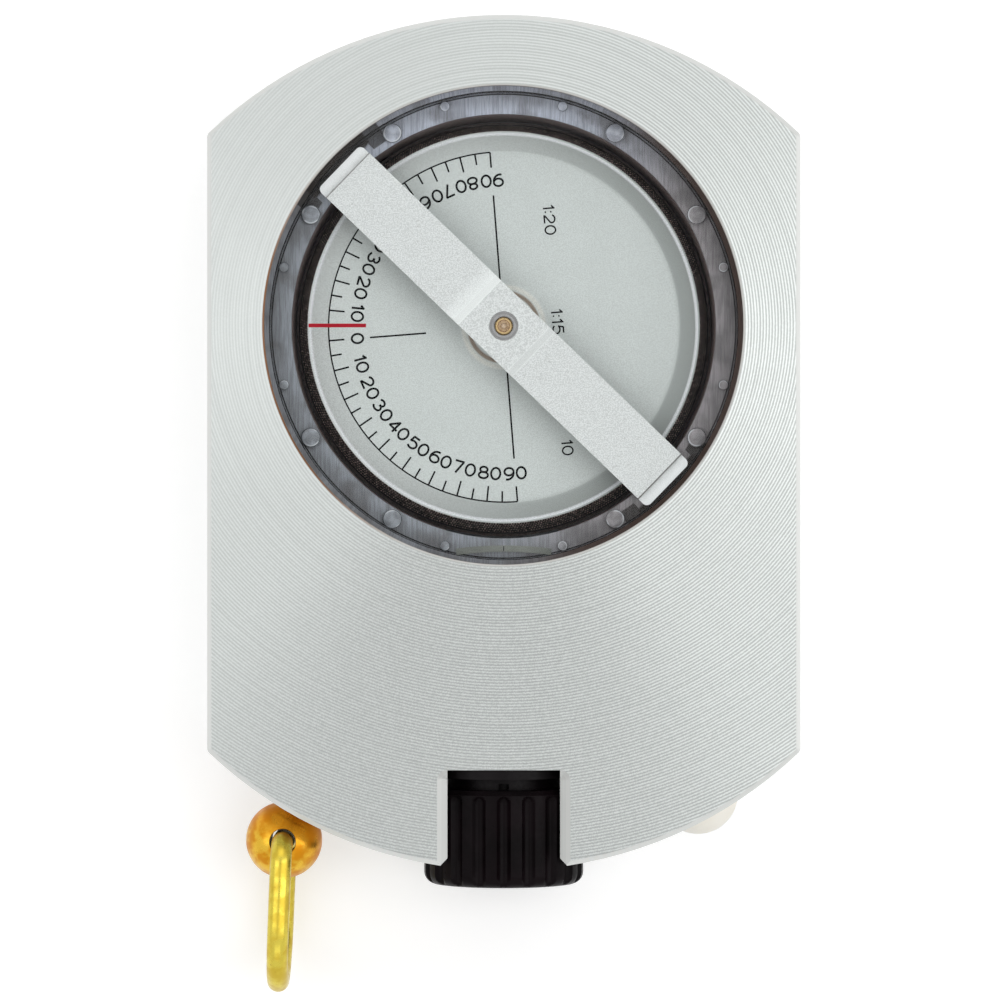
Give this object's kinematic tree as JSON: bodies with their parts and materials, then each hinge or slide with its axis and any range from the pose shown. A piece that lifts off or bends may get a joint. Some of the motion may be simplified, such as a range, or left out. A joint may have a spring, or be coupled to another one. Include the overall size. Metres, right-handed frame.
{
  "type": "inclinometer",
  "caption": "Pocket inclinometer: flat metal block with a liquid-damped dial capsule, a focusing eyepiece at one end and a lanyard ring.",
  "frame": {"origin": "centre of the round blank that the housing is cut from, on the back face", "axes": "+Z out of the dial's window, +Y from the eyepiece towards the top of the housing, +X to the right as the dial is seen"},
  "size_m": [0.052, 0.0863, 0.015],
  "materials": {
    "anodised_aluminium": "satin, turned in fine rings on the front face",
    "plate_aluminium": "satin with a plain black scale print",
    "bridge_aluminium": "fine satin",
    "cushion_rubber": "matte dark grey",
    "clear_plastic": "clear, polished",
    "plug_plastic": "matte",
    "red_paint": "thin printed line",
    "steel": "bright turned",
    "small_brass": "bright turned",
    "ruby": "polished",
    "dial_grey": "satin light grey with black print",
    "drum_black": "matte with a fine light scale",
    "hub_plastic": "satin light grey, worn brown at its edge",
    "black_anodised": "matte black",
    "optical_glass": "polished",
    "knob_black": "satin black",
    "ball_brass": "aged, polished by use",
    "ring_brass": "pale, satin",
    "dome_plastic": "milky, slightly translucent"
  },
  "bodies": {
    "instrument": {"housing": "anodised_aluminium", "back_plate": "plate_aluminium", "capsule_cushion": "cushion_rubber", "capsule_cup": "clear_plastic", "filling_plug": "plug_plastic", "capsule_window": "clear_plastic", "index_line": "red_paint", "bearing_bridge": "bridge_aluminium", "bearing_bush": "steel", "upper_bearing_screw": "small_brass", "lower_bearing_screw": "small_brass", "upper_jewel": "ruby", "lower_jewel": "ruby", "lens_barrel": "black_anodised", "hairline_glass": "optical_glass", "hairline_ring": "black_anodised", "barrel_grub_screw": "steel", "lanyard_stud": "ball_brass", "blanking_plug": "dome_plastic"},
    "dial_card": {"dial_disc": "dial_grey", "scale_drum": "drum_black", "card_hub": "hub_plastic", "pivot_axle": "steel", "counterweight": "small_brass"},
    "lens_carriage": {"lens_cell": "black_anodised", "eye_lens": "optical_glass", "lens_ring": "black_anodised", "guide_pin": "steel"},
    "knob": {"focus_knob": "knob_black", "knob_clip": "steel"},
    "ring": {"lanyard_ring": "ring_brass"}
  },
  "joints": [
    {"name": "card_swing", "type": "hinge", "parent": "instrument", "child": "dial_card", "pos_m": [0, 0.0103, 0.0096], "axis": [0, 0, 1], "continuous": true},
    {"name": "eyepiece_focus", "type": "slide", "parent": "instrument", "child": "lens_carriage", "axis": [0, -1, 0], "range_m": [-0.00075, 0.00125]},
    {"name": "knob_turn", "type": "hinge", "parent": "lens_carriage", "child": "knob", "pos_m": [0, -0.035, 0.0075], "axis": [0, -1, 0], "range_deg": [-90, 150]},
    {"name": "ring_swing", "type": "hinge", "parent": "instrument", "child": "ring", "pos_m": [-0.01956, -0.03529, 0.0075], "axis": [0, 0, 1], "range_deg": [-125, 45]}
  ],
  "couplings": [
    {"joint": "knob_turn", "follows": "eyepiece_focus", "rad_per_m": 2094.4}
  ]
}
